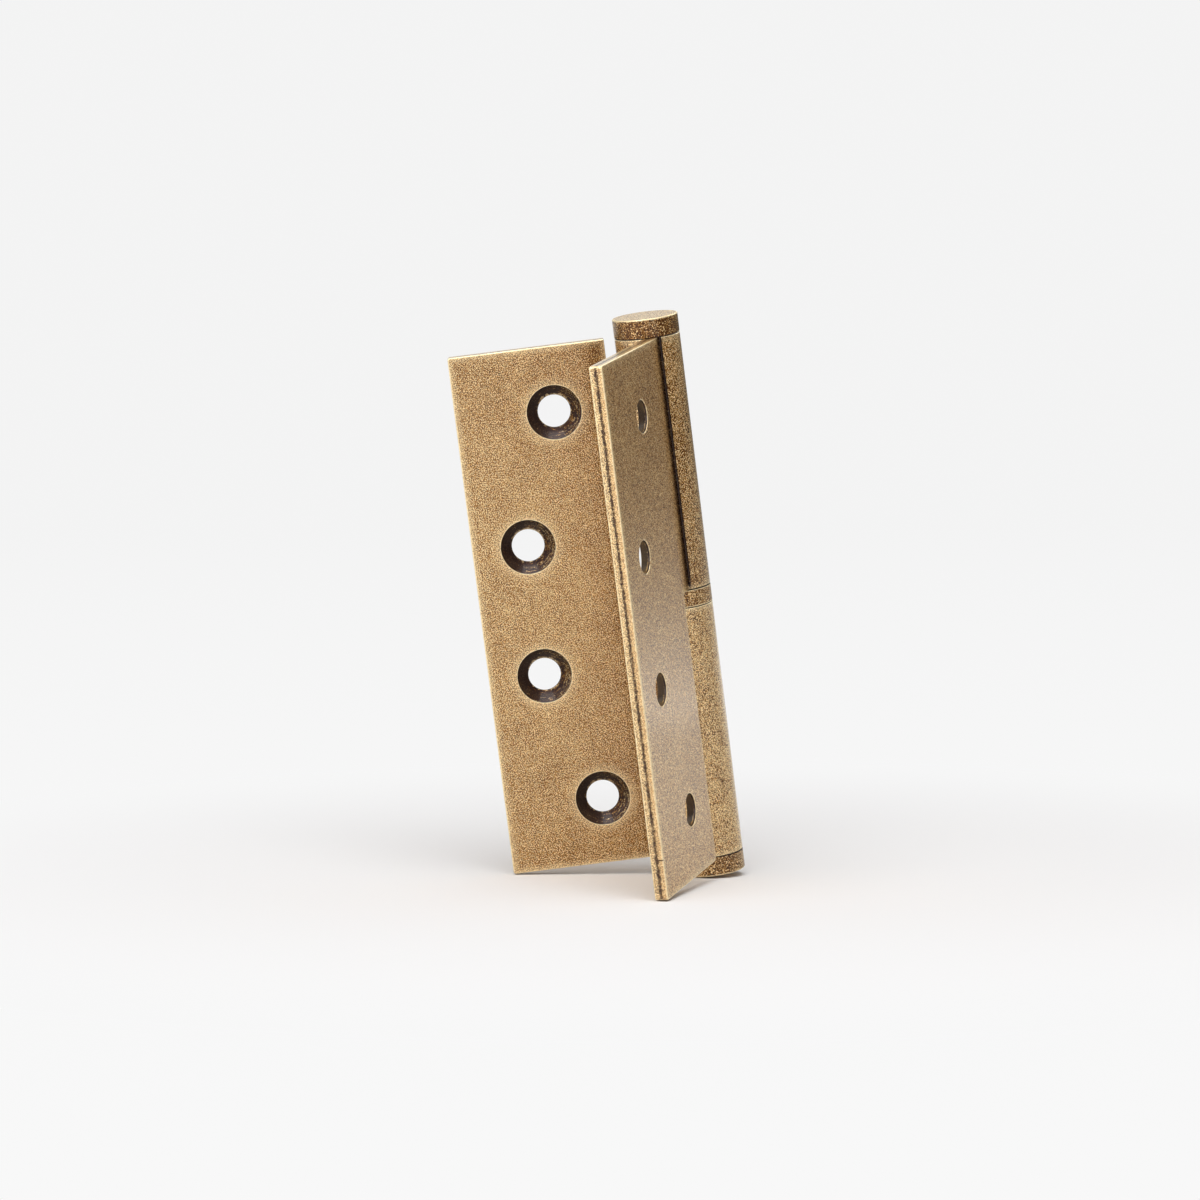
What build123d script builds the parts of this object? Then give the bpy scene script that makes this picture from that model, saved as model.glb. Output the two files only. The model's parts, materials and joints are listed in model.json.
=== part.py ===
"""A lift-off butt hinge of solid drawn brass, 102 mm high and about 77 mm wide open.

The frame leaf carries the lower knuckle, with the pin pressed into it. The door leaf carries the
upper knuckle, which drops over the pin and turns on a thick washer between the two knuckles. A flat
cap closes the outer end of each knuckle.

Frame: the pin's axis is Z, up, and the origin is on it at mid height. The frame leaf runs out along
-X, and its countersunk face looks along -Y. The door leaf is the same profile turned over about X,
then opened about Z from that closed place.
"""
from build123d import *
import os
from math import sqrt

# Driving sizes, in millimetres and degrees
leaf_height = 101.6
leaf_reach = 38.4
leaf_thickness = 2.6
face_offset = 1.2
knuckle_radius = 6.3
washer_thickness = 3.4
pin_radius = 3.5
pin_reach = 33.0
cap_thickness = 3.7
spigot_length = 5.0
opening_angle = 70.0

# Screw holes: an outer pair near the leaf's ends, and a middle pair nearer the outer edge
screw_radius = 3.15
countersink_radius = 5.3
countersink_angle = 90.0
end_screw_from_end = 12.8
end_screw_from_axis = 19.4
middle_screw_spacing = 25.4
middle_screw_from_edge = 10.8

# Named clearances between pieces
frame_notch_clearance = 2.0
door_notch_clearance = 1.65
door_bore_clearance = 0.05
washer_bore_clearance = 0.08
pin_end_gap = 1.0

# The undercut along the root of each knuckle, on the leaf's outer side
undercut_width = 0.7
undercut_depth = 1.0
undercut_dip = 0.15
undercut_run_out = 0.5
undercut_end_wall = 0.5
undercut_taper_length = 1.5
undercut_taper_angle = 12.0

# Corners and worn edges
outer_corner_radius = 0.5
frame_notch_corner_radius = 0.25
door_notch_corner_radius = 0.9
inner_corner_radius = 0.5
edge_round = 0.2
knuckle_end_chamfer = 0.2
hole_edge_round = 0.15
cap_face_round = 0.25
washer_round = 0.18
door_bore_lead_in = 0.6
pin_tip_taper = 1.6
pin_tip_inset = 0.9
pin_tip_round = 0.5
pin_foot_chamfer = 0.5

# Sizes that follow from the ones above
top = leaf_height / 2
washer_half = washer_thickness / 2
knuckle_length = top - washer_half
outer_face = face_offset + leaf_thickness
door_bore_radius = pin_radius + door_bore_clearance
undercut_root = sqrt(knuckle_radius**2 - outer_face**2)

BOTTOM_UP = (Align.CENTER, Align.CENTER, Align.MIN)
ROUNDING = 0.001


def lying_at(shapes: ShapeList, axis: Axis, place: float) -> ShapeList:
    """The shapes whose middle is at one place along an axis, to within rounding."""
    return shapes.filter_by_position(axis, place - ROUNDING, place + ROUNDING)


def plate(notch_clearance: float, notch_corner_radius: float) -> Part:
    """The flat of a leaf: its full height, with a tab into the knuckle on its lower half."""
    notch_edge = knuckle_radius + notch_clearance
    with BuildPart() as built:
        with BuildSketch(Plane.XZ.offset(-outer_face)) as outline:
            with Locations((-leaf_reach, -top)):
                Rectangle(leaf_reach - notch_edge, leaf_height, align=(Align.MIN, Align.MIN))
            with Locations((-notch_edge, -top)):
                Rectangle(notch_edge, knuckle_length, align=(Align.MIN, Align.MIN))
            fillet(lying_at(outline.vertices(), Axis.X, -leaf_reach), outer_corner_radius)
            notch_corner = lying_at(outline.vertices(), Axis.X, -notch_edge).sort_by(Axis.Y)[-1]
            fillet(notch_corner, notch_corner_radius)
            inner_corner = lying_at(outline.vertices(), Axis.Y, -washer_half).sort_by(Axis.X)[0]
            fillet(inner_corner, inner_corner_radius)
        extrude(amount=leaf_thickness)
        broad_faces = built.faces().filter_by(Axis.Y)
        fillet(broad_faces.edges(), edge_round)
    return built.part


def knuckle() -> Part:
    """The solid barrel on a leaf's lower half, with its two ends' edges broken."""
    with BuildPart(Plane.XY.offset(-top)) as built:
        Cylinder(knuckle_radius, knuckle_length, align=BOTTOM_UP)
        chamfer(built.edges().filter_by(GeomType.CIRCLE), knuckle_end_chamfer)
    return built.part


def undercut() -> Part:
    """The cutter for the undercut: a slot dipping into the outer face, narrowing as it ends near the washer."""
    slot_length = undercut_depth + undercut_run_out
    straight = knuckle_length - undercut_end_wall - undercut_taper_length
    inner_end = undercut_depth - undercut_root
    centre = (inner_end - slot_length / 2, outer_face - undercut_dip + undercut_width / 2)
    with BuildPart() as built:
        with BuildSketch(Plane.XY.offset(-top)):
            with Locations(centre):
                SlotOverall(slot_length, undercut_width)
        extrude(amount=straight)
        extrude(built.faces().sort_by(Axis.Z)[-1], amount=undercut_taper_length, taper=undercut_taper_angle)
    return built.part


def screw_places() -> list[tuple[float, float]]:
    """X and Z of the four screw holes in a leaf."""
    end_z = top - end_screw_from_end
    middle_z = middle_screw_spacing / 2
    middle_x = middle_screw_from_edge - leaf_reach
    return [
        (-end_screw_from_axis, end_z),
        (middle_x, middle_z),
        (middle_x, -middle_z),
        (-end_screw_from_axis, -end_z),
    ]


def leaf(flat: Part, bore_radius: float, lead_in: float = 0) -> Part:
    """A whole leaf where the frame leaf lies: plate and knuckle in one, bored, drilled and countersunk."""
    with BuildPart() as built:
        add(flat)
        add(knuckle())
        add(undercut(), mode=Mode.SUBTRACT)
        with Locations((0, 0, -top)):
            Cylinder(bore_radius, knuckle_length, align=BOTTOM_UP, mode=Mode.SUBTRACT)
        inner_plane = Plane(origin=(0, face_offset, 0), x_dir=(1, 0, 0), z_dir=(0, -1, 0))
        with Locations(inner_plane):
            with Locations(*screw_places()):
                CounterSinkHole(screw_radius, countersink_radius, leaf_thickness, countersink_angle)
        fillet(lying_at(built.edges().filter_by(GeomType.CIRCLE), Axis.Y, outer_face), hole_edge_round)
        if lead_in:
            mouth = lying_at(built.edges().filter_by(GeomType.CIRCLE), Axis.Z, -washer_half)
            chamfer(mouth.sort_by(SortBy.RADIUS)[0], lead_in)
    return built.part


def turned_over(part: Part) -> Part:
    """The piece turned over about X, which swaps lower and upper and the leaf's two sides."""
    return Rot(X=180) * part


def opened(part: Part) -> Part:
    """The piece swung about the pin from closed to the angle at which the hinge stands."""
    return Rot(Z=opening_angle) * part


def hinge_pin() -> Part:
    """The steel pin: a plain rod with a tapered, rounded tip that finds the door leaf's bore."""
    foot = -top + spigot_length + pin_end_gap
    tip = washer_half + pin_reach
    with BuildPart() as built:
        with BuildSketch(Plane.XZ) as half:
            with BuildLine():
                Polyline(
                    (0, foot),
                    (pin_radius - pin_foot_chamfer, foot),
                    (pin_radius, foot + pin_foot_chamfer),
                    (pin_radius, tip - pin_tip_taper),
                    (pin_radius - pin_tip_inset, tip),
                    (0, tip),
                    close=True,
                )
            make_face()
            shoulder = lying_at(half.vertices(), Axis.X, pin_radius).sort_by(Axis.Y)[-1]
            fillet(shoulder, pin_tip_round)
        revolve(axis=Axis.Z)
    return built.part


def bearing_washer() -> Part:
    """The thick ring that carries the door leaf's knuckle, flush with both knuckles."""
    with BuildPart() as built:
        Cylinder(knuckle_radius, washer_thickness)
        fillet(built.edges().filter_by(GeomType.CIRCLE), washer_round)
        Cylinder(pin_radius + washer_bore_clearance, washer_thickness, mode=Mode.SUBTRACT)
    return built.part


def cap(spigot_radius: float) -> Part:
    """A flat end cap over the upper knuckle: a disc with a spigot pressed into the bore."""
    with BuildPart() as built:
        with Locations((0, 0, top)):
            Cylinder(knuckle_radius, cap_thickness, align=BOTTOM_UP)
        rims = built.edges().filter_by(GeomType.CIRCLE).sort_by(Axis.Z)
        fillet(rims[-1], cap_face_round)
        fillet(built.edges().filter_by(GeomType.CIRCLE).sort_by(Axis.Z)[0], edge_round)
        with Locations((0, 0, top - spigot_length)):
            Cylinder(spigot_radius, spigot_length, align=BOTTOM_UP)
        chamfer(built.edges().filter_by(GeomType.CIRCLE).sort_by(Axis.Z)[0], pin_foot_chamfer)
    return built.part


def build() -> dict[str, Part]:
    """Every piece of the hinge by its name, each in its place."""
    frame_plate = plate(frame_notch_clearance, frame_notch_corner_radius)
    door_plate = plate(door_notch_clearance, door_notch_corner_radius)
    return {
        "frame_leaf": leaf(frame_plate, pin_radius),
        "door_leaf": opened(turned_over(leaf(door_plate, door_bore_radius, door_bore_lead_in))),
        "hinge_pin": hinge_pin(),
        "bearing_washer": bearing_washer(),
        "top_cap": opened(cap(door_bore_radius)),
        "bottom_cap": turned_over(cap(pin_radius)),
    }


os.makedirs("parts", exist_ok=True)
for name, piece in build().items():
    piece.label = name
    export_step(piece, f"parts/{name}.step")
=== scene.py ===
"""The looks of a lift-off butt hinge in antique brass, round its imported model.

Every piece keeps its own mesh. What is made here is each piece's finish, the pale floor that the
hinge leans on, the studio's lamps and the camera. Lengths in the finishes are in millimetres, and
everything that is placed in the scene is in metres.
"""
import json
import logging
from dataclasses import dataclass, replace
from enum import Enum
from math import cos, pi, radians, sin, tan

import bmesh
import bpy
from mathutils import Matrix, Vector

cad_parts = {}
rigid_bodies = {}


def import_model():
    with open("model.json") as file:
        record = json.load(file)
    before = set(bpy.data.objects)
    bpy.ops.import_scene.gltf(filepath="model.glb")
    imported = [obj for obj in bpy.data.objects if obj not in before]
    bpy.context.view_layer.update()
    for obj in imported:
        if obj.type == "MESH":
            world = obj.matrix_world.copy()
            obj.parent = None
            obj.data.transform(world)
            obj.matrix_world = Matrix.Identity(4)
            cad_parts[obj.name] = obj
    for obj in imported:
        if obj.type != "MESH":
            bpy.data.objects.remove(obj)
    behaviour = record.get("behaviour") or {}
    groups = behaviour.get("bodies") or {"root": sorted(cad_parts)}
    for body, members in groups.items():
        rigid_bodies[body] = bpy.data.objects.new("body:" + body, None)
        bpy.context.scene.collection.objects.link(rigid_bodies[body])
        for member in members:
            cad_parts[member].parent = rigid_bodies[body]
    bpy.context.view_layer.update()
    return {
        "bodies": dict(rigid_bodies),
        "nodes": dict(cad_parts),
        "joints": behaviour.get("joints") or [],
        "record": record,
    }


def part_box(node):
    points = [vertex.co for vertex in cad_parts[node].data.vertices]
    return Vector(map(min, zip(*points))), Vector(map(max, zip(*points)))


MM = 0.001
# How far off a surface, in mm, a point may lie and still count as on it
SLACK = 0.05
# Nearly all of a noise's values lie between these
NOISE_SPAN = (0.3, 0.7)
# How much black a joint or a countersink keeps, and between which distances, in mm, a joint's black ends
KEPT_BLACK = 0.95
JOINT_EDGE = (0.07, 0.14)
LOG = logging.getLogger("hinge")

Socket = bpy.types.NodeSocket
Tree = bpy.types.NodeTree


def linear(hex_colour: str) -> tuple[float, float, float, float]:
    """Turns an sRGB hex colour to the linear one that a shader takes.

    Args:
        hex_colour: Six hex digits, red first, such as "B08D57".

    Returns:
        Red, green, blue and an alpha of 1.
    """
    parts = [int(hex_colour[i:i + 2], 16) / 255 for i in (0, 2, 4)]
    lit = [p / 12.92 if p <= 0.04045 else ((p + 0.055) / 1.055) ** 2.4 for p in parts]
    return (*lit, 1.0)


def add(tree: Tree, kind: str, inputs: dict | tuple = (), **settings: object) -> Socket:
    """Adds one node to a tree, with its settings, values and links.

    Args:
        tree: The node tree that gets the node.
        kind: The node's type, without its ShaderNode start.
        inputs: The inputs in their order, or by name or number: a value, or the output that feeds it.
        **settings: The node's own settings, such as operation.

    Returns:
        The node's first output in use, or None where it has no outputs.
    """
    node = tree.nodes.new("ShaderNode" + kind)
    for name, value in settings.items():
        setattr(node, name, value)
    feeds = inputs.items() if isinstance(inputs, dict) else enumerate(inputs)
    for key, value in feeds:
        if isinstance(value, Socket):
            tree.links.new(value, node.inputs[key])
        else:
            node.inputs[key].default_value = value
    return next((o for o in node.outputs if o.enabled), None)


@dataclass(frozen=True)
class LeafSizes:
    """The sizes of one leaf in millimetres, where the frame leaf lies: pin along Z, outer end at -X."""

    reach: float
    top: float
    outer_face: float
    knuckle_radius: float
    washer_half: float
    hole_radius: float
    end_screw: tuple[float, float]
    middle_screw: tuple[float, float]
    thickness: float = 2.6
    countersink_radius: float = 5.3
    notch_clearance: float = 2.0
    undercut_height: float = 0.55

    @property
    def inner_face(self) -> float:
        """How far the countersunk face stands from the pin's axis."""
        return self.outer_face - self.thickness

    @property
    def notch_edge(self) -> float:
        """How far the edge beside the other leaf's knuckle is from the pin's axis."""
        return self.knuckle_radius + self.notch_clearance

    @property
    def root(self) -> float:
        """How far the line where the outer face meets the knuckle is from the pin's axis."""
        return (self.knuckle_radius ** 2 - self.outer_face ** 2) ** 0.5

    @classmethod
    def from_frame(cls, frame: dict) -> "LeafSizes":
        """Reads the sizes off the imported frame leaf, the washer and the screw mounts.

        Args:
            frame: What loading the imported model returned.

        Returns:
            The leaf's sizes.
        """
        low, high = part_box("frame_leaf")
        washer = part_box("bearing_washer")[1]
        mounts = {m["name"]: m for m in frame["record"]["mounts"]}
        end, middle = mounts["frame_end_screws"], mounts["frame_middle_screws"]
        places = [(m["pos_m"][0] / MM, m["dims"]["spacing_y_mm"] / 2) for m in (end, middle)]
        return cls(reach=-low.x / MM, top=high.z / MM, outer_face=end["pos_m"][1] / MM,
                   knuckle_radius=high.x / MM, washer_half=washer.z / MM,
                   hole_radius=end["dims"]["hole_r_mm"], end_screw=places[0], middle_screw=places[1])


@dataclass(frozen=True)
class Patina:
    """Antique brass: drawn brass, blackened in a bath, then tumbled so that only the low spots stay dark.

    The eye sees a warm tan that sparkles with fine flecks, mottled lighter and darker over a few
    millimetres, nearly black where nothing rubbed it, and bare pale brass along every edge. A thin clear
    lacquer lays a pale sheen over it where it is seen at a slant.
    """

    shades: tuple[tuple[float, str], ...] = (
        (0.0, "482B13"), (0.26, "7E5127"), (0.5, "B67F3E"), (0.74, "DAAB67"), (1.0, "F6DBA6"))
    bare: str = "F4E0B4"
    black: str = "2A191B"
    grazing: str = "EAEFDC"
    fleck_size: float = 0.15
    fleck_leans: tuple[float, ...] = (-42.0, 38.0)
    fleck_stretch: float = 0.7
    fleck_strength: float = 6.0
    mottle_size: float = 1.2
    mottle_strength: float = 0.45
    cloud_size: float = 7.0
    cloud_strength: float = 0.35
    stroke_size: float = 0.8
    stroke_width: float = 0.05
    stroke_strength: float = 0.4
    stroke_bend: float = 0.9
    stroke_kept: tuple[float, float] = (0.48, 0.6)
    pit_size: float = 0.55
    pit_edge: tuple[float, float] = (0.67, 0.76)
    pit_black: float = 0.6
    wear_lift: float = 0.35
    dark_fall: float = 0.55
    bare_share: float = 0.8
    relief: float = 0.02
    relief_strength: float = 0.6
    black_dulls_metal: float = 0.3
    black_dulls_lacquer: float = 0.7
    rough_span: tuple[float, float] = (0.2, 0.8)
    smooth: float = 0.42
    rough: float = 0.50
    lacquer: float = 0.9
    lacquer_roughness: float = 0.12

    def grain(self, tree: Tree, place: Socket) -> Socket:
        """The mottle of the whole finish, about 0.5, from fine flecks to soft clouds.

        The flecks lean both ways across each other, and are drawn no finer than shows.

        Args:
            tree: The material's node tree.
            place: Where on the piece, in millimetres.

        Returns:
            The mottle, before wear and black are added.
        """
        total = 0.5
        share = self.fleck_strength / len(self.fleck_leans)
        for lean in self.fleck_leans:
            turned = add(tree, "Mapping", {"Vector": place, "Rotation": (0.0, radians(lean), 0.0)})
            drawn = add(tree, "Mapping", {"Vector": turned, "Scale": (1.0, 1.0, self.fleck_stretch)})
            total = self.layer(tree, drawn, self.fleck_size, share, total, 0.0)
        total = self.layer(tree, place, self.mottle_size, self.mottle_strength, total)
        total = self.layer(tree, place, self.cloud_size, self.cloud_strength, total)
        return add(tree, "Math", (self.strokes(tree, place), self.stroke_strength, total),
                   operation="MULTIPLY_ADD")

    def strokes(self, tree: Tree, place: Socket) -> Socket:
        """The short, thin, bright marks, lying every way, that the tumbling stones left.

        Args:
            tree: The material's node tree.
            place: Where on the piece, in millimetres.

        Returns:
            Where a stroke is, from 0 to 1.
        """
        bend = add(tree, "TexNoise", {"Vector": place, "Scale": 1.2, "Detail": 2.0}).node.outputs["Color"]
        bent = add(tree, "VectorMath", (bend, (self.stroke_bend,) * 3, place), operation="MULTIPLY_ADD")
        net = add(tree, "TexVoronoi", {"Vector": bent, "Scale": 1 / self.stroke_size},
                  feature="DISTANCE_TO_EDGE")
        thin = self.stroke_width / self.stroke_size
        lines = add(tree, "MapRange", (net, 0.3 * thin, thin, 1.0, 0.0))
        gaps = add(tree, "TexNoise", {"Vector": place, "Scale": 1.1, "Detail": 1.0})
        kept = add(tree, "MapRange", (gaps, *self.stroke_kept))
        return add(tree, "Math", (lines, kept), operation="MULTIPLY")

    def layer(self, tree: Tree, place: Socket, size: float, strength: float, total: Socket | float,
              detail: float = 1.5) -> Socket:
        """Adds one size of mottle to what is there.

        Args:
            tree: The material's node tree.
            place: Where on the piece, in millimetres.
            size: The size of the mottle, in millimetres.
            strength: How much it changes the total.
            total: What it is added to.
            detail: How many finer sizes it holds.

        Returns:
            The new total.
        """
        noise = add(tree, "TexNoise", {"Vector": place, "Scale": 1 / size, "Detail": detail,
                                       "Roughness": 0.6})
        centred = add(tree, "Math", (noise, 0.5), operation="SUBTRACT")
        return add(tree, "Math", (centred, strength, total), operation="MULTIPLY_ADD")

    def surface(self, tree: Tree, place: Socket, wear: Socket, dark: Socket, tone: Socket | float,
                evenness: Socket | float = 0.0) -> None:
        """Builds the shader from the mottle, the wear and the black that stayed.

        Args:
            tree: The material's node tree.
            place: Where on the piece, in millimetres.
            wear: How bare the brass is, from 0 to 1.
            dark: How much black stayed, from 0 to 1.
            tone: How much lighter than the usual the piece is, or darker below 0.
            evenness: How far the mottle is evened out, from 0 to 1.
        """
        mottle = add(tree, "Mix", {0: evenness, 2: self.grain(tree, place), 3: 0.5})
        grain = add(tree, "Math", (mottle, tone), operation="ADD")
        lifted = add(tree, "Math", (wear, self.wear_lift, grain), operation="MULTIPLY_ADD")
        browned = add(tree, "Math", (dark, -self.dark_fall, lifted), operation="MULTIPLY_ADD")
        colour = add(tree, "ValToRGB", (browned,))
        marks = colour.node.color_ramp.elements
        while len(marks) < len(self.shades):
            marks.new(0.5)
        for mark, (spot, shade) in zip(marks, self.shades):
            mark.position = spot
            mark.color = linear(shade)
        bright = add(tree, "Math", (1.0, dark), operation="SUBTRACT", use_clamp=True)
        lit = add(tree, "Math", (wear, bright), operation="MULTIPLY")
        rubbed = add(tree, "Math", (lit, self.bare_share), operation="MULTIPLY")
        bared = add(tree, "Mix", {0: rubbed, 6: colour, 7: linear(self.bare)}, data_type="RGBA")
        pits = add(tree, "TexNoise", {"Vector": place, "Scale": 1 / self.pit_size, "Detail": 1.0})
        pitted = add(tree, "MapRange", (pits, *self.pit_edge, 0.0, self.pit_black),
                     interpolation_type="SMOOTHSTEP")
        smoothed = add(tree, "Math", (wear, evenness), operation="MAXIMUM")
        open_share = add(tree, "Math", (1.0, smoothed), operation="SUBTRACT")
        held = add(tree, "Math", (pitted, open_share), operation="MULTIPLY")
        black = add(tree, "Math", (dark, held), operation="MAXIMUM", use_clamp=True)
        full = add(tree, "Mix", {0: black, 6: bared, 7: linear(self.black)}, data_type="RGBA")
        rough = add(tree, "MapRange", (lifted, *self.rough_span, self.rough, self.smooth))
        height = add(tree, "Bump", {"Height": lifted, "Strength": self.relief_strength,
                                    "Distance": self.relief * MM})
        metal = add(tree, "Math", (black, -self.black_dulls_metal, 1.0), operation="MULTIPLY_ADD")
        coat = add(tree, "Math", (black, -self.black_dulls_lacquer * self.lacquer, self.lacquer),
                   operation="MULTIPLY_ADD")
        shader = add(tree, "BsdfPrincipled", {
            "Base Color": full, "Metallic": metal, "Roughness": rough, "Normal": height,
            "Specular Tint": linear(self.grazing),
            "Coat Weight": coat, "Coat Roughness": self.lacquer_roughness,
        })
        add(tree, "OutputMaterial", (shader,))


def empty_material(name: str) -> bpy.types.Material:
    """Makes a material whose node tree is empty.

    Args:
        name: The material's name.

    Returns:
        The material.
    """
    material = bpy.data.materials.new(name)
    material.use_nodes = True
    material.node_tree.nodes.clear()
    return material


def start_material(name: str, piece: bpy.types.Object) -> Tree:
    """Puts a new, empty material on a piece.

    Args:
        name: The material's name.
        piece: The piece.

    Returns:
        The material's empty node tree.
    """
    material = empty_material(name)
    piece.material_slots[0].link = "OBJECT"
    piece.material_slots[0].material = material
    return material.node_tree


def in_millimetres(tree: Tree, turn: tuple[float, float, float] = (0.0, 0.0, 0.0)) -> Socket:
    """The piece's own coordinates, turned to where the frame leaf lies, in millimetres.

    Args:
        tree: The material's node tree.
        turn: The turn about X, then Y, then Z, in degrees.

    Returns:
        The coordinates.
    """
    own = add(tree, "TexCoord").node.outputs["Object"]
    scale = (1 / MM,) * 3
    return add(tree, "Mapping", {"Vector": own, "Rotation": tuple(radians(a) for a in turn), "Scale": scale})


def rim_wear(tree: Tree, own: Socket, edge: Socket, narrow: float, wide: float) -> Socket:
    """How bare a rim is: all bare at the edge, with a ragged limit.

    Args:
        tree: The material's node tree.
        own: The piece's own pattern coordinates.
        edge: How far the point is from the nearest edge, in millimetres.
        narrow: The narrowest bare band.
        wide: The widest bare band.

    Returns:
        The wear, from 0 to 1.
    """
    ragged = add(tree, "TexNoise", {"Vector": own, "Scale": 1.6, "Detail": 2.0})
    reach = add(tree, "MapRange", (ragged, *NOISE_SPAN, narrow, wide))
    share = add(tree, "Math", (edge, reach), operation="DIVIDE")
    return add(tree, "MapRange", (share, 0.25, 1.0, 1.0, 0.0), interpolation_type="SMOOTHSTEP")


def joint_black(tree: Tree, height: Socket, sizes: LeafSizes) -> Socket:
    """The black that stays in the joints of the barrel, where one turned piece stands on the next.

    Args:
        tree: The material's node tree.
        height: How far the point is above or below mid height, in millimetres.
        sizes: The leaf's sizes.

    Returns:
        How much black stayed, from 0 to 1.
    """
    gaps = []
    for level in (sizes.top, sizes.washer_half):
        off = add(tree, "Math", (height, level), operation="SUBTRACT")
        gaps.append(add(tree, "Math", (off,), operation="ABSOLUTE"))
    nearest = add(tree, "Math", tuple(gaps), operation="MINIMUM")
    return add(tree, "MapRange", (nearest, *JOINT_EDGE, KEPT_BLACK, 0.0), interpolation_type="SMOOTHSTEP")


@dataclass(frozen=True)
class LeafWearAndPaintedLight:
    """How a leaf was rubbed, where its black stayed, and where shade and highlights are painted on it:
    lengths in millimetres, the rest in shares.
    """

    rim: tuple[float, float] = (0.22, 0.6)
    hole_rim_kept: float = 0.12
    halo_reach: float = 2.2
    halo: float = 0.24
    band: tuple[float, float] = (0.3, 1.6)
    band_wear: float = 0.25
    outer_evenness: float = 0.5
    # Painted shade beside the knuckle and in the corner by it; the plate is also darker near its two ends
    knuckle_painted_shade: float = -0.17
    corner: tuple[float, float] = (-13.5, -9.5)
    corner_painted_shade: float = -0.25
    end: tuple[float, float] = (6.0, 30.0)
    end_shade: float = -0.07
    undercut_reach: tuple[float, float] = (2.3, 0.5)
    undercut_brown: float = 0.42
    undercut_foot: float = 0.5
    undercut_rise: tuple[float, float] = (0.13, 0.02)
    undercut_flecks: tuple[float, float] = (0.4, 0.65)
    undercut_least: float = 0.7
    line_shift: float = 0.32
    line_edge: tuple[float, float] = (0.42, 0.14)
    line_kept: tuple[float, float] = (0.45, 0.8)
    line_gaps: tuple[float, float] = (0.36, 0.5)
    cone_rings: tuple[float, float, float] = (5.5, 2.6, 0.35)
    cone_flecks: tuple[float, float] = (0.52, 0.68)
    cone_kept: float = 0.3
    lip_width: float = 0.6
    lip_wear_and_highlight: float = 0.7
    lip_edge: tuple[float, float] = (-0.08, 0.05)
    lip_ragged: tuple[float, float] = (0.52, 0.72)
    # The lip is bared wider above each hole: a painted highlight
    lip_painted_highlight: float = 0.12
    lip_painted_highlight_above: tuple[float, float] = (0.6, 3.0)


@dataclass(frozen=True)
class LeafMasks:
    """Where on a leaf a point lies: distances in millimetres, and masks from 0 to 1."""

    edge: Socket
    side: Socket
    broad: Socket
    hole: Socket
    beside: Socket
    above: Socket
    knuckle: Socket
    cone: Socket
    undercut: Socket
    joint: Socket
    inner: Socket
    # Painted shade beside the knuckle, 0 or less
    painted_shade: Socket


@dataclass(frozen=True)
class Mark:
    """A small black nick or scratch: a box in millimetres, where the frame leaf lies."""

    centre: tuple[float, float, float]
    half: tuple[float, float, float]
    lean: float = 0.0
    edge: tuple[float, float] = (0.6, 1.0)
    black: float = 0.85

    def mask(self, tree: Tree, place: Socket) -> Socket:
        """Where the mark is.

        Args:
            tree: The material's node tree.
            place: Where on the leaf, in millimetres.

        Returns:
            How much black there is, from 0 to 1.
        """
        local = add(tree, "Mapping", {"Vector": place, "Location": self.centre, "Scale": self.half,
                                      "Rotation": (0.0, radians(self.lean), 0.0)}, vector_type="TEXTURE")
        size = add(tree, "VectorMath", (local,), operation="ABSOLUTE")
        x, y, z = add(tree, "SeparateXYZ", (size,)).node.outputs
        wide = add(tree, "Math", (x, y), operation="MAXIMUM")
        far = add(tree, "Math", (wide, z), operation="MAXIMUM")
        return add(tree, "MapRange", (far, *self.edge, self.black, 0.0), interpolation_type="SMOOTHSTEP")


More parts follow.
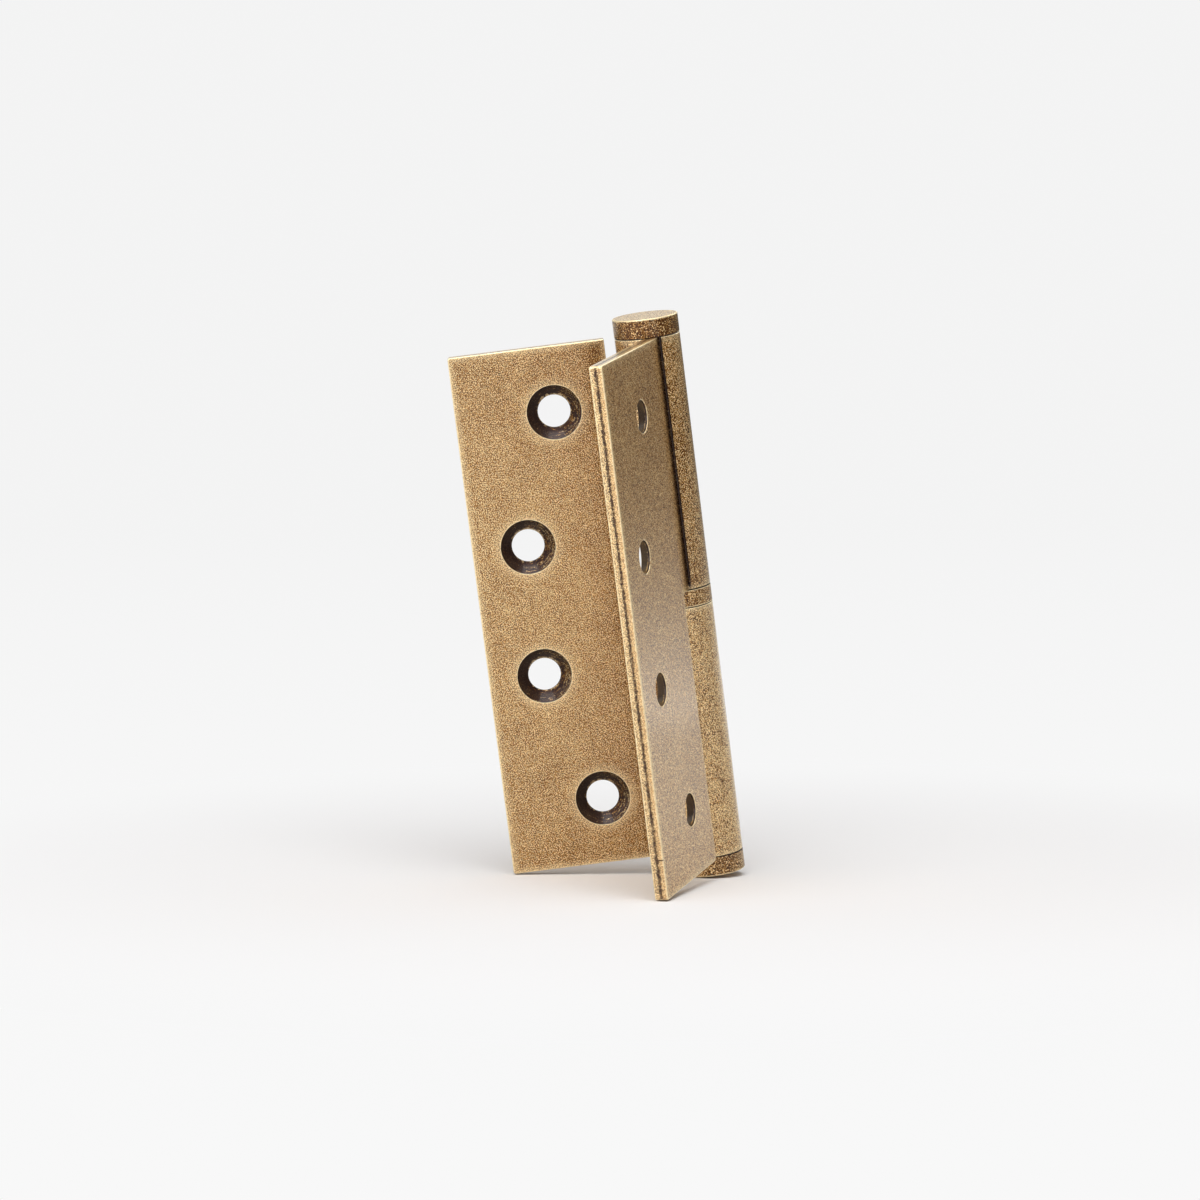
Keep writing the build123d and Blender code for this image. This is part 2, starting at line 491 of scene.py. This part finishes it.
@dataclass
class Leaf:
    """One leaf: the plate with its four countersunk holes, and its knuckle."""

    node: str
    sizes: LeafSizes
    patina: Patina
    turn: tuple[float, float, float] = (0.0, 0.0, 0.0)
    seed: float = 0.0
    knuckle_tone: float = 0.0
    # How far the countersinks' brass flecks gather on one side: painted light on the lit side
    cone_painted_light: float = 0.02
    marks: tuple[Mark, ...] = ()
    wear: LeafWearAndPaintedLight = LeafWearAndPaintedLight()

    def masks(self, tree: Tree, place: Socket) -> LeafMasks:
        """Works out how far a point is from the leaf's edges, holes and undercut.

        Args:
            tree: The material's node tree.
            place: Where on the leaf, in millimetres, as the frame leaf lies.

        Returns:
            The distances and masks.
        """
        s = self.sizes
        x, y, z = add(tree, "SeparateXYZ", (place,)).node.outputs
        height = add(tree, "Math", (z,), operation="ABSOLUTE")
        from_inner = add(tree, "Math", (y, s.inner_face), operation="SUBTRACT")
        from_outer = add(tree, "Math", (s.outer_face, y), operation="SUBTRACT")
        broad = add(tree, "Math", (from_inner, from_outer), operation="MINIMUM")
        from_end = add(tree, "Math", (x, s.reach), operation="ADD")
        from_top = add(tree, "Math", (s.top, height), operation="SUBTRACT")
        past_notch = add(tree, "Math", (-s.notch_edge, x), operation="SUBTRACT")
        below_washer = add(tree, "Math", (-s.washer_half, z), operation="SUBTRACT")
        from_notch = add(tree, "Math", (past_notch, below_washer), operation="MAXIMUM")
        from_corner = add(tree, "Math", (from_end, from_top), operation="MINIMUM")
        side = add(tree, "Math", (from_corner, from_notch), operation="MINIMUM")
        plate_edge = add(tree, "Math", (broad, side), operation="MAXIMUM")
        corner_edge = add(tree, "Math", (from_end, from_top), operation="MAXIMUM")
        flat_edge = add(tree, "Math", (plate_edge, corner_edge), operation="MINIMUM")
        across = add(tree, "CombineXYZ", (x, y))
        radius = add(tree, "VectorMath", (across,), operation="LENGTH")
        inside = add(tree, "Math", (s.knuckle_radius, radius), operation="SUBTRACT")
        from_ring = add(tree, "Math", (from_top, below_washer), operation="MINIMUM")
        ring_edge = add(tree, "Math", (inside, from_ring), operation="MAXIMUM")
        on_knuckle = add(tree, "Math", (radius, s.knuckle_radius + SLACK), operation="LESS_THAN")
        leaf_edge = add(tree, "Mix", {0: on_knuckle, 2: flat_edge, 3: ring_edge})
        hole, beside, above = self.hole_distance(tree, x, z)
        edge = self.with_hole_rims(tree, leaf_edge, hole, from_inner, from_outer)
        in_sink = add(tree, "Math", (hole, s.countersink_radius - 0.04), operation="LESS_THAN")
        off_face = add(tree, "Math", (from_outer, 0.12), operation="GREATER_THAN")
        cone = add(tree, "Math", (in_sink, off_face), operation="MULTIPLY")
        groove = joint_black(tree, height, s)
        joint = add(tree, "Math", (groove, on_knuckle), operation="MULTIPLY")
        undercut = self.undercut_mask(tree, place, x, y, radius)
        inner = add(tree, "Math", (from_outer, s.thickness / 2), operation="GREATER_THAN")
        painted_shade = self.painted_shade(tree, x, from_top, on_knuckle)
        return LeafMasks(edge, side, broad, hole, beside, above, on_knuckle, cone, undercut, joint,
                         inner, painted_shade)

    def with_hole_rims(self, tree: Tree, leaf_edge: Socket, hole: Socket, from_inner: Socket,
                       from_outer: Socket) -> Socket:
        """Takes in the rims of the screw holes, which were rubbed less than the leaf's own edges.

        Args:
            tree: The material's node tree.
            leaf_edge: How far the point is from the leaf's own edges.
            hole: How far it is from the nearest screw hole's axis.
            from_inner: How far it is from the countersunk face.
            from_outer: How far it is from the outer face.

        Returns:
            How far the point is from the nearest edge of any kind.
        """
        s = self.sizes
        edge = leaf_edge
        for rim, face in ((s.countersink_radius, from_inner), (s.hole_radius, from_outer)):
            off = add(tree, "Math", (hole, rim), operation="SUBTRACT")
            size = add(tree, "Math", (off,), operation="ABSOLUTE")
            rim_edge = add(tree, "Math", (size, face), operation="MAXIMUM")
            kept_rim = add(tree, "Math", (rim_edge, self.wear.hole_rim_kept), operation="ADD")
            edge = add(tree, "Math", (edge, kept_rim), operation="MINIMUM")
        return edge

    def painted_shade(self, tree: Tree, x: Socket, from_top: Socket, on_knuckle: Socket) -> Socket:
        """Painted shade on the plate beside its knuckle, darkest in the corner by it, and the plate darker
        near its two ends.

        Args:
            tree: The material's node tree.
            x: The point's place along the leaf.
            from_top: How far it is from the nearer end.
            on_knuckle: Whether it is on the knuckle.

        Returns:
            What is added to the mottle, 0 or less.
        """
        s, w = self.sizes, self.wear
        near_knuckle = add(tree, "MapRange", (x, -s.reach / 2, -s.knuckle_radius, 0.0, w.knuckle_painted_shade),
                           interpolation_type="SMOOTHSTEP")
        in_corner = add(tree, "MapRange", (x, *w.corner, 0.0, w.corner_painted_shade),
                        interpolation_type="SMOOTHSTEP")
        near_ends = add(tree, "MapRange", (from_top, *w.end, w.end_shade, 0.0),
                        interpolation_type="SMOOTHSTEP")
        by_knuckle = add(tree, "Math", (near_knuckle, in_corner), operation="ADD")
        on_plate = add(tree, "Math", (by_knuckle, near_ends), operation="ADD")
        return add(tree, "Mix", {0: on_knuckle, 2: on_plate, 3: 0.0})

    def hole_distance(self, tree: Tree, x: Socket, z: Socket) -> tuple[Socket, Socket, Socket]:
        """How far a point is from the nearest screw hole's axis.

        Args:
            tree: The material's node tree.
            x: The point's place along the leaf.
            z: How far it is above mid height.

        Returns:
            The distance, and how far the point is beside and above that axis, in millimetres.
        """
        height = add(tree, "Math", (z,), operation="ABSOLUTE")
        flat = add(tree, "CombineXYZ", (x, 0.0, height))
        found = []
        for across, up in (self.sizes.end_screw, self.sizes.middle_screw):
            found.append(add(tree, "VectorMath", (flat, (across, 0.0, up)), operation="DISTANCE"))
        nearest = add(tree, "Math", tuple(found), operation="MINIMUM")
        at_end = add(tree, "Math", tuple(found), operation="LESS_THAN")
        (end_x, end_z), (middle_x, middle_z) = self.sizes.end_screw, self.sizes.middle_screw
        across = add(tree, "MapRange", (at_end, 0.0, 1.0, middle_x, end_x))
        beside = add(tree, "Math", (x, across), operation="SUBTRACT")
        level = add(tree, "MapRange", (at_end, 0.0, 1.0, middle_z, end_z))
        upper = add(tree, "Math", (z,), operation="SIGN")
        centre = add(tree, "Math", (level, upper), operation="MULTIPLY")
        return nearest, beside, add(tree, "Math", (z, centre), operation="SUBTRACT")

    def undercut_mask(self, tree: Tree, place: Socket, x: Socket, y: Socket, radius: Socket) -> Socket:
        """Marks the slot under the knuckle, and the brown that spreads from it over the plate.

        Args:
            tree: The material's node tree.
            place: Where on the leaf, in millimetres.
            x: The point's place along the leaf.
            y: Its place through the leaf.
            radius: How far it is from the pin's axis.

        Returns:
            How much black stayed, from 0 to 1.
        """
        s, w = self.sizes, self.wear
        far, close = w.undercut_reach
        flecks = add(tree, "TexNoise", {"Vector": place, "Scale": 2.2, "Detail": 3.0, "Roughness": 0.8})
        broken = add(tree, "MapRange", (flecks, *w.undercut_flecks, 1.0, w.undercut_least))
        low = add(tree, "Math", (y, s.outer_face - 0.2), operation="GREATER_THAN")
        high = add(tree, "Math", (y, s.outer_face + s.undercut_height), operation="LESS_THAN")
        level = add(tree, "Math", (low, high), operation="MULTIPLY")
        near = add(tree, "MapRange", (x, -s.root - far, -s.root - close, 0.0, w.undercut_brown),
                   interpolation_type="SMOOTHSTEP")
        sunk = add(tree, "Math", (radius, s.knuckle_radius - SLACK), operation="LESS_THAN")
        foot, brim = (s.outer_face - below for below in w.undercut_rise)
        rise = add(tree, "MapRange", (y, foot, brim, w.undercut_foot, 1.0))
        inside = add(tree, "Math", (sunk, rise), operation="MULTIPLY")
        deep = add(tree, "Math", (near, inside), operation="MAXIMUM")
        there = add(tree, "Math", (level, deep), operation="MULTIPLY")
        return add(tree, "Math", (there, broken), operation="MULTIPLY")

    def dress(self, piece: bpy.types.Object) -> None:
        """Gives the leaf its antique brass.

        Args:
            piece: The leaf's packed object.
        """
        s, w = self.sizes, self.wear
        tree = start_material(f"antique_brass_{self.node}", piece)
        place = in_millimetres(tree, self.turn)
        masks = self.masks(tree, place)
        own = add(tree, "VectorMath", (place, (self.seed,) * 3), operation="ADD")
        rim = rim_wear(tree, own, masks.edge, *w.rim)
        halo_end = s.countersink_radius + w.halo_reach
        around = add(tree, "MapRange", (masks.hole, s.countersink_radius, halo_end, w.halo, 0.0),
                     interpolation_type="SMOOTHSTEP")
        halo = add(tree, "Math", (around, masks.inner), operation="MULTIPLY")
        band = add(tree, "MapRange", (masks.side, *w.band, w.band_wear, 0.0), interpolation_type="SMOOTHSTEP")
        soft = add(tree, "Math", (halo, band), operation="MAXIMUM")
        rubbed = add(tree, "Math", (rim, soft), operation="MAXIMUM")
        off_cone = add(tree, "Math", (1.0, masks.cone), operation="SUBTRACT")
        open_wear = add(tree, "Math", (rubbed, off_cone), operation="MULTIPLY")
        # The lip's bare brass holds a painted highlight above each hole
        lip = self.lip_wear_and_highlight(tree, own, masks)
        wear = add(tree, "Math", (open_wear, lip), operation="MAXIMUM")
        sunk = add(tree, "Math", (self.cone_black(tree, place, masks), lip), operation="SUBTRACT")
        dark = masks.undercut
        nicks = [mark.mask(tree, place) for mark in self.marks]
        for black in (self.kept_line(tree, own, masks), sunk, masks.joint, *nicks):
            dark = add(tree, "Math", (dark, black), operation="MAXIMUM")
        # Painted shade beside the knuckle, on the countersunk face only
        inner_painted_shade = add(tree, "Math", (masks.painted_shade, masks.inner), operation="MULTIPLY")
        tone = add(tree, "Math", (masks.knuckle, self.knuckle_tone, inner_painted_shade), operation="MULTIPLY_ADD")
        turned_in = add(tree, "Math", (masks.inner, masks.knuckle), operation="MAXIMUM")
        even = add(tree, "MapRange", (turned_in, 0.0, 1.0, w.outer_evenness, 0.0))
        self.patina.surface(tree, own, wear, dark, tone, even)

    def lip_wear_and_highlight(self, tree: Tree, own: Socket, masks: LeafMasks) -> Socket:
        """The bare, ragged lip where a countersink runs into its through hole, bared wider above the hole as
        a painted highlight where the sheet's reflection lights the lip.

        Args:
            tree: The material's node tree.
            own: The leaf's own pattern coordinates.
            masks: Where on the leaf a point lies.

        Returns:
            The wear with its painted highlight, from 0 to 1.
        """
        s, w = self.sizes, self.wear
        ragged = add(tree, "TexNoise", {"Vector": own, "Scale": 1.6, "Detail": 4.0, "Roughness": 0.8})
        # Wider above the hole: a painted highlight
        highlighted = add(tree, "MapRange", (masks.above, *w.lip_painted_highlight_above, 0.0, w.lip_painted_highlight),
                     interpolation_type="SMOOTHSTEP")
        share = add(tree, "Math", (ragged, highlighted), operation="ADD")
        widest = s.hole_radius + w.lip_width
        reach = add(tree, "MapRange", (share, *w.lip_ragged, s.hole_radius, widest))
        beyond = add(tree, "Math", (masks.hole, reach), operation="SUBTRACT")
        bare = add(tree, "MapRange", (beyond, *w.lip_edge, w.lip_wear_and_highlight, 0.0), interpolation_type="SMOOTHSTEP")
        off_wall = add(tree, "Math", (masks.hole, s.hole_radius + 0.02), operation="GREATER_THAN")
        on_cone = add(tree, "Math", (off_wall, masks.cone), operation="MULTIPLY")
        return add(tree, "Math", (bare, on_cone), operation="MULTIPLY")

    def kept_line(self, tree: Tree, own: Socket, masks: LeafMasks) -> Socket:
        """The broken line of brown that stayed along the middle of the leaf's narrow sides.

        Args:
            tree: The material's node tree.
            own: The leaf's own pattern coordinates.
            masks: Where on the leaf a point lies.

        Returns:
            How much black stayed, from 0 to 1.
        """
        w = self.wear
        faint, full = w.line_edge
        wander = add(tree, "TexNoise", {"Vector": own, "Scale": 1.8, "Detail": 4.0, "Roughness": 0.85})
        shift = add(tree, "MapRange", (wander, *NOISE_SPAN, -w.line_shift, w.line_shift))
        middle = add(tree, "Math", (masks.broad, shift), operation="ADD")
        half = self.sizes.thickness / 2
        line = add(tree, "MapRange", (middle, half - faint, half - full, 0.0, 1.0),
                   interpolation_type="SMOOTHSTEP")
        thin = add(tree, "TexNoise", {"Vector": own, "Scale": 0.7, "Detail": 4.0, "Roughness": 0.75})
        kept = add(tree, "MapRange", (thin, *w.line_gaps, *w.line_kept), interpolation_type="SMOOTHSTEP")
        broken = add(tree, "Math", (line, kept), operation="MULTIPLY")
        on_side = add(tree, "Math", (masks.side, 0.06), operation="LESS_THAN")
        return add(tree, "Math", (broken, on_side), operation="MULTIPLY")

    def cone_black(self, tree: Tree, place: Socket, masks: LeafMasks) -> Socket:
        """The black that stayed in the countersinks, with rings of brass flecks that the cutter left,
        gathered on one side as painted light on its lit side.

        Args:
            tree: The material's node tree.
            place: Where on the leaf, in millimetres.
            masks: Where on the leaf a point lies.

        Returns:
            How much black stayed, from 0 to 1.
        """
        w = self.wear
        turn = add(tree, "Math", (masks.above, masks.beside), operation="ARCTAN2")
        height = add(tree, "SeparateXYZ", (place,)).node.outputs[2]
        rings = add(tree, "CombineXYZ", (masks.hole, turn, height))
        drawn = add(tree, "Mapping", {"Vector": rings, "Scale": w.cone_rings})
        flecks = add(tree, "TexNoise", {"Vector": drawn, "Scale": 1.0, "Detail": 3.0, "Roughness": 0.7})
        # More flecks on one side of the countersink: painted light on its lit side
        share = add(tree, "Math", (masks.beside, self.cone_painted_light, flecks), operation="MULTIPLY_ADD")
        kept = add(tree, "MapRange", (share, *w.cone_flecks, KEPT_BLACK, w.cone_kept),
                   interpolation_type="SMOOTHSTEP")
        return add(tree, "Math", (kept, masks.cone), operation="MULTIPLY")


@dataclass
class TurnedPiece:
    """A turned brass piece: a cap or the washer."""

    node: str
    sizes: LeafSizes
    patina: Patina
    seed: float = 0.0
    tone: float = 0.0
    face_tone: float = 0.0
    rim: tuple[float, float] = (0.25, 0.5)

    def dress(self, piece: bpy.types.Object) -> None:
        """Gives the piece its antique brass, bare along its rims.

        Args:
            piece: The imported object.
        """
        low, high = (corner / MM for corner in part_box(self.node))
        tree = start_material(f"antique_brass_{self.node}", piece)
        place = in_millimetres(tree)
        x, y, z = add(tree, "SeparateXYZ", (place,)).node.outputs
        across = add(tree, "CombineXYZ", (x, y))
        radius = add(tree, "VectorMath", (across,), operation="LENGTH")
        inside = add(tree, "Math", (high.x, radius), operation="SUBTRACT")
        over = add(tree, "Math", (z, low.z), operation="SUBTRACT")
        under = add(tree, "Math", (high.z, z), operation="SUBTRACT")
        from_ends = add(tree, "Math", (over, under), operation="MINIMUM")
        edge = add(tree, "Math", (inside, from_ends), operation="MAXIMUM")
        own = add(tree, "VectorMath", (place, (self.seed,) * 3), operation="ADD")
        wear = rim_wear(tree, own, edge, *self.rim)
        on_face = add(tree, "Math", (from_ends, SLACK), operation="LESS_THAN")
        tone = add(tree, "MapRange", (on_face, 0.0, 1.0, self.tone, self.tone + self.face_tone))
        height = add(tree, "Math", (z,), operation="ABSOLUTE")
        self.patina.surface(tree, own, wear, joint_black(tree, height, self.sizes), tone)


@dataclass
class Pin:
    """The pin, of ground steel, which shows when the door leaf is lifted off.

    The eye sees a bright grey rod with very fine rings round it, as a centreless grinder leaves them.
    """

    node: str = "hinge_pin"
    light_steel: str = "B5B4B2"
    dark_steel: str = "8C8A88"
    ring_pitch: float = 0.12
    ring_depth: float = 0.004
    smooth: float = 0.22
    rough: float = 0.36

    def dress(self, piece: bpy.types.Object) -> None:
        """Gives the pin its grinding rings, drawn at a pitch that just shows.

        Args:
            piece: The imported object.
        """
        tree = start_material("ground_steel", piece)
        place = in_millimetres(tree)
        drawn = add(tree, "Mapping", {"Vector": place, "Scale": (0.15, 0.15, 1 / self.ring_pitch)})
        rings = add(tree, "TexNoise", {"Vector": drawn, "Scale": 1.0, "Detail": 2.0, "Roughness": 0.7})
        share = add(tree, "MapRange", (rings, *NOISE_SPAN))
        colour = add(tree, "Mix", {0: share, 6: linear(self.dark_steel), 7: linear(self.light_steel)},
                     data_type="RGBA")
        rough = add(tree, "MapRange", (rings, *NOISE_SPAN, self.smooth, self.rough))
        height = add(tree, "Bump", {"Height": rings, "Strength": 0.3, "Distance": self.ring_depth * MM})
        shader = add(tree, "BsdfPrincipled", {"Base Color": colour, "Metallic": 1.0, "Roughness": rough,
                                              "Normal": height})
        add(tree, "OutputMaterial", (shader,))


@dataclass
class Floor:
    """The pale sheet that the hinge leans on: two leaf corners and the lower cap touch it. In metres."""

    radius: float = 1.6
    gap: float = 0.00005
    colour: str = "F5F4F4"
    near_tone: float = 0.945
    far_tone: float = 0.9
    graded: tuple[float, float] = (-0.5, 0.9)
    rim_fade: tuple[float, float] = (0.5, 0.95)
    fade: tuple[float, float] = (0.08, 0.2)
    mirrored_tone: float = 1.0
    mirrored: tuple[float, float] = (0.04, 0.14)

    def plane(self) -> Matrix:
        """Where the sheet lies, from the two leaf corners and the lower cap's rim.

        Returns:
            The matrix that puts a level disc where the sheet lies.
        """
        frame_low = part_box("frame_leaf")[0]
        door_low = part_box("door_leaf")[0]
        cap_low, cap_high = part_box("bottom_cap")
        first = Vector((frame_low.x, 0.0, frame_low.z))
        second = Vector((door_low.x, door_low.y, frame_low.z))
        along = (second - first).normalized()
        away = Vector((-along.y, along.x, 0.0))
        if away.dot(-first) < 0:
            away = -away
        reach = away.dot(-first) - cap_high.x
        fall = (frame_low.z - cap_low.z) / reach
        normal = Vector((fall * away.x, fall * away.y, 1.0)).normalized()
        centre = first - normal * self.gap
        return Matrix.Translation(centre) @ Vector((0, 0, 1)).rotation_difference(normal).to_matrix().to_4x4()

    def build(self) -> None:
        """Makes the sheet and its material.

        The camera sees it fade to the plain background away from the hinge, and behind the hinge the
        metal mirrors it as white.
        """
        shape = bmesh.new()
        bmesh.ops.create_circle(shape, cap_ends=True, radius=self.radius, segments=96)
        bmesh.ops.transform(shape, matrix=self.plane(), verts=shape.verts)
        mesh = bpy.data.meshes.new("floor")
        shape.to_mesh(mesh)
        shape.free()
        sheet = bpy.data.objects.new("floor", mesh)
        bpy.context.scene.collection.objects.link(sheet)
        material = empty_material("matt_white_sheet")
        tree = material.node_tree
        own = add(tree, "TexCoord").node.outputs["Object"]
        away = add(tree, "VectorMath", (own,), operation="LENGTH")
        far = add(tree, "MapRange", (away, *self.fade), interpolation_type="SMOOTHSTEP")
        path = add(tree, "LightPath").node.outputs
        y = add(tree, "SeparateXYZ", (own,)).node.outputs[1]
        behind = add(tree, "MapRange", (y, *self.mirrored))
        mirrored = add(tree, "Math", (behind, path["Is Glossy Ray"]), operation="MULTIPLY")
        plain = add(tree, "Math", (far, path["Is Camera Ray"], mirrored), operation="MULTIPLY_ADD")
        graded = add(tree, "MapRange", (y, *self.graded, self.near_tone, self.far_tone))
        rim = add(tree, "MapRange", (away, *(share * self.radius for share in self.rim_fade)))
        shown_tone = add(tree, "Mix", {0: rim, 2: graded, 3: self.far_tone})
        tone = add(tree, "Mix", {0: path["Is Glossy Ray"], 2: shown_tone, 3: self.mirrored_tone})
        paper = add(tree, "BsdfDiffuse", (linear(self.colour),))
        glow = add(tree, "Emission", (tone,))
        both = add(tree, "MixShader", (plain, paper, glow))
        add(tree, "OutputMaterial", (both,))
        mesh.materials.append(material)


class Reach(Enum):
    """What a lamp lights: the metal, which shines, or the matt sheet under it."""

    SHINE = "metal"
    WASH = "sheet"


@dataclass(frozen=True)
class Lamp:
    """A square softbox, turned to the hinge."""

    name: str
    azimuth: float
    elevation: float
    distance: float
    size: float
    brightness: float
    reach: Reach = Reach.SHINE

    def build(self) -> None:
        """Makes the lamp."""
        light = bpy.data.lights.new(self.name, "AREA")
        light.shape = "SQUARE"
        light.size = self.size
        light.energy = self.brightness * pi * self.size ** 2
        lamp = bpy.data.objects.new(self.name, light)
        bpy.context.scene.collection.objects.link(lamp)
        back = direction(self.azimuth, self.elevation)
        lamp.location = back * self.distance
        lamp.rotation_mode = "QUATERNION"
        lamp.rotation_quaternion = back.to_track_quat("Z", "Y")
        lamp.visible_diffuse = self.reach is Reach.WASH
        lamp.visible_glossy = self.reach is Reach.SHINE


@dataclass(frozen=True)
class ReflectionCard:
    """A card that glows, seen only in the metal's reflections: a painted reflection, pale at its foot and
    dark above, that darkens one side of the hinge there. It lights nothing else, casts no shadow, and the
    camera doesn't see it.
    """

    name: str
    azimuth: float
    distance: float
    width: float
    bottom: float
    top: float
    pale_to: float = -0.124
    dark_from: float = -0.030
    pale: float = 1.75
    dark: float = 0.15
    steepness: float = 2.4

    def build(self) -> None:
        """Makes the card, upright, and facing the hinge."""
        shape = bmesh.new()
        bmesh.ops.create_grid(shape, x_segments=1, y_segments=1, size=0.5)
        bmesh.ops.scale(shape, vec=(self.width, self.top - self.bottom, 1.0), verts=shape.verts)
        back = direction(self.azimuth, 0.0)
        turn = back.to_track_quat("Z", "Y").to_matrix().to_4x4()
        centre = back * self.distance + Vector((0, 0, (self.top + self.bottom) / 2))
        bmesh.ops.transform(shape, matrix=Matrix.Translation(centre) @ turn, verts=shape.verts)
        mesh = bpy.data.meshes.new(self.name)
        shape.to_mesh(mesh)
        shape.free()
        card = bpy.data.objects.new(self.name, mesh)
        bpy.context.scene.collection.objects.link(card)
        # Only glossy rays see the card, so its glow is a painted reflection in the metal
        card.visible_camera = False
        card.visible_diffuse = False
        card.visible_shadow = False
        material = empty_material("graded_card")
        tree = material.node_tree
        own = add(tree, "TexCoord").node.outputs["Object"]
        height = add(tree, "SeparateXYZ", (own,)).node.outputs[2]
        low = add(tree, "MapRange", (height, self.pale_to, self.dark_from, 1.0, 0.0))
        share = add(tree, "Math", (low, self.steepness), operation="POWER")
        tone = add(tree, "MapRange", (share, 0.0, 1.0, self.dark, self.pale))
        # The card's glow, bright at its foot and dim above: a painted reflection
        shader = add(tree, "Emission", (tone,))
        add(tree, "OutputMaterial", (shader,))
        mesh.materials.append(material)


def direction(azimuth: float, elevation: float) -> Vector:
    """The way from the hinge to something round it.

    Args:
        azimuth: Degrees from -Y towards +X.
        elevation: Degrees above level.

    Returns:
        A unit vector.
    """
    a, e = radians(azimuth), radians(elevation)
    return Vector((sin(a) * cos(e), -cos(a) * cos(e), sin(e)))


@dataclass
class Studio:
    """The plain studio: pale surroundings, soft lamps, graded cards that glow only in the metal's
    reflections, and the sheet.
    """

    surround: float = 0.9
    fill: float = 0.35
    lamps: tuple[Lamp, ...] = (
        Lamp("key", -44.0, 26.0, 1.6, 1.0, 3.7),
        Lamp("over", 0.0, 84.0, 1.6, 1.3, 3.4),
        Lamp("rim", 150.0, 34.0, 1.6, 0.6, 3.0),
        Lamp("wash", 8.0, 64.0, 1.6, 1.6, 3.2, Reach.WASH),
    )
    reflection_cards: tuple[ReflectionCard, ...] = (
        ReflectionCard("flag_back", 138.0, 0.5, 0.56, -0.124, 0.04),
        ReflectionCard("flag_front", 75.0, 0.5, 0.62, -0.094, 0.05),
    )

    def build(self) -> None:
        """Makes the world, the lamps, the cards and the sheet."""
        world = bpy.data.worlds.new("studio")
        bpy.context.scene.world = world
        world.use_nodes = True
        tree = world.node_tree
        tree.nodes.clear()
        path = add(tree, "LightPath").node.outputs
        seen = add(tree, "Math", (path["Is Camera Ray"], path["Is Glossy Ray"]), operation="ADD")
        shown = add(tree, "Math", (seen, path["Is Transmission Ray"]), operation="ADD", use_clamp=True)
        tone = add(tree, "MapRange", (shown, 0.0, 1.0, self.fill, self.surround))
        back = add(tree, "Background", (tone,))
        add(tree, "OutputWorld", (back,))
        for thing in (*self.lamps, *self.reflection_cards, Floor()):
            thing.build()


@dataclass(frozen=True)
class PhotoCamera:
    """The camera at the photograph's place: nearly level, tilted because the hinge leans."""

    azimuth: float = -0.067
    elevation: float = 9.912
    roll: float = -7.164
    distance: float = 1.05979
    aim: tuple[float, float, float] = (-0.01519, 0.00017, 0.00089)
    field_of_view: float = 12.430

    def build(self) -> None:
        """Makes the camera and sets it as the scene's."""
        data = bpy.data.cameras.new("camera")
        data.sensor_width = 36.0
        data.lens = data.sensor_width / 2 / tan(radians(self.field_of_view) / 2)
        data.clip_start = 0.01
        data.clip_end = 20.0
        camera = bpy.data.objects.new("camera", data)
        bpy.context.scene.collection.objects.link(camera)
        back = direction(self.azimuth, self.elevation)
        level = direction(self.azimuth + 90.0, 0.0)
        upright = back.cross(level)
        roll = radians(self.roll)
        right = level * cos(roll) + upright * sin(roll)
        up = upright * cos(roll) - level * sin(roll)
        turn = Matrix((right, up, back)).transposed()
        camera.matrix_world = Matrix.Translation(Vector(self.aim) + back * self.distance) @ turn.to_4x4()
        bpy.context.scene.camera = camera


def main() -> None:
    """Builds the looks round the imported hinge, piece by piece."""
    logging.basicConfig(level=logging.INFO, format="%(name)s: %(message)s")
    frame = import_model()
    sizes = LeafSizes.from_frame(frame)
    patina = Patina()
    turned = replace(patina, lacquer=0.6)
    pieces = (
        Leaf("frame_leaf", sizes, patina, knuckle_tone=0.06),
        Leaf("door_leaf", replace(sizes, notch_clearance=1.65), patina, turn=(180.0, 0.0, 70.0), seed=57.0,
             knuckle_tone=-0.18, cone_painted_light=-0.04, marks=(Mark((-38.4, 3.2, 43.1), (0.3, 0.7, 0.15)),)),
        TurnedPiece("top_cap", sizes, turned, seed=13.0, tone=-0.55, face_tone=0.56),
        TurnedPiece("bottom_cap", sizes, turned, seed=29.0, tone=-0.32, face_tone=0.3),
        TurnedPiece("bearing_washer", sizes, turned, seed=41.0, tone=-0.28),
        Pin(),
    )
    for piece in pieces:
        piece.dress(frame["nodes"][piece.node])
        LOG.info("dressed %s", piece.node)
    Studio().build()
    PhotoCamera().build()
    bpy.context.scene.view_settings.view_transform = "Standard"


if __name__ == "__main__":
    main()
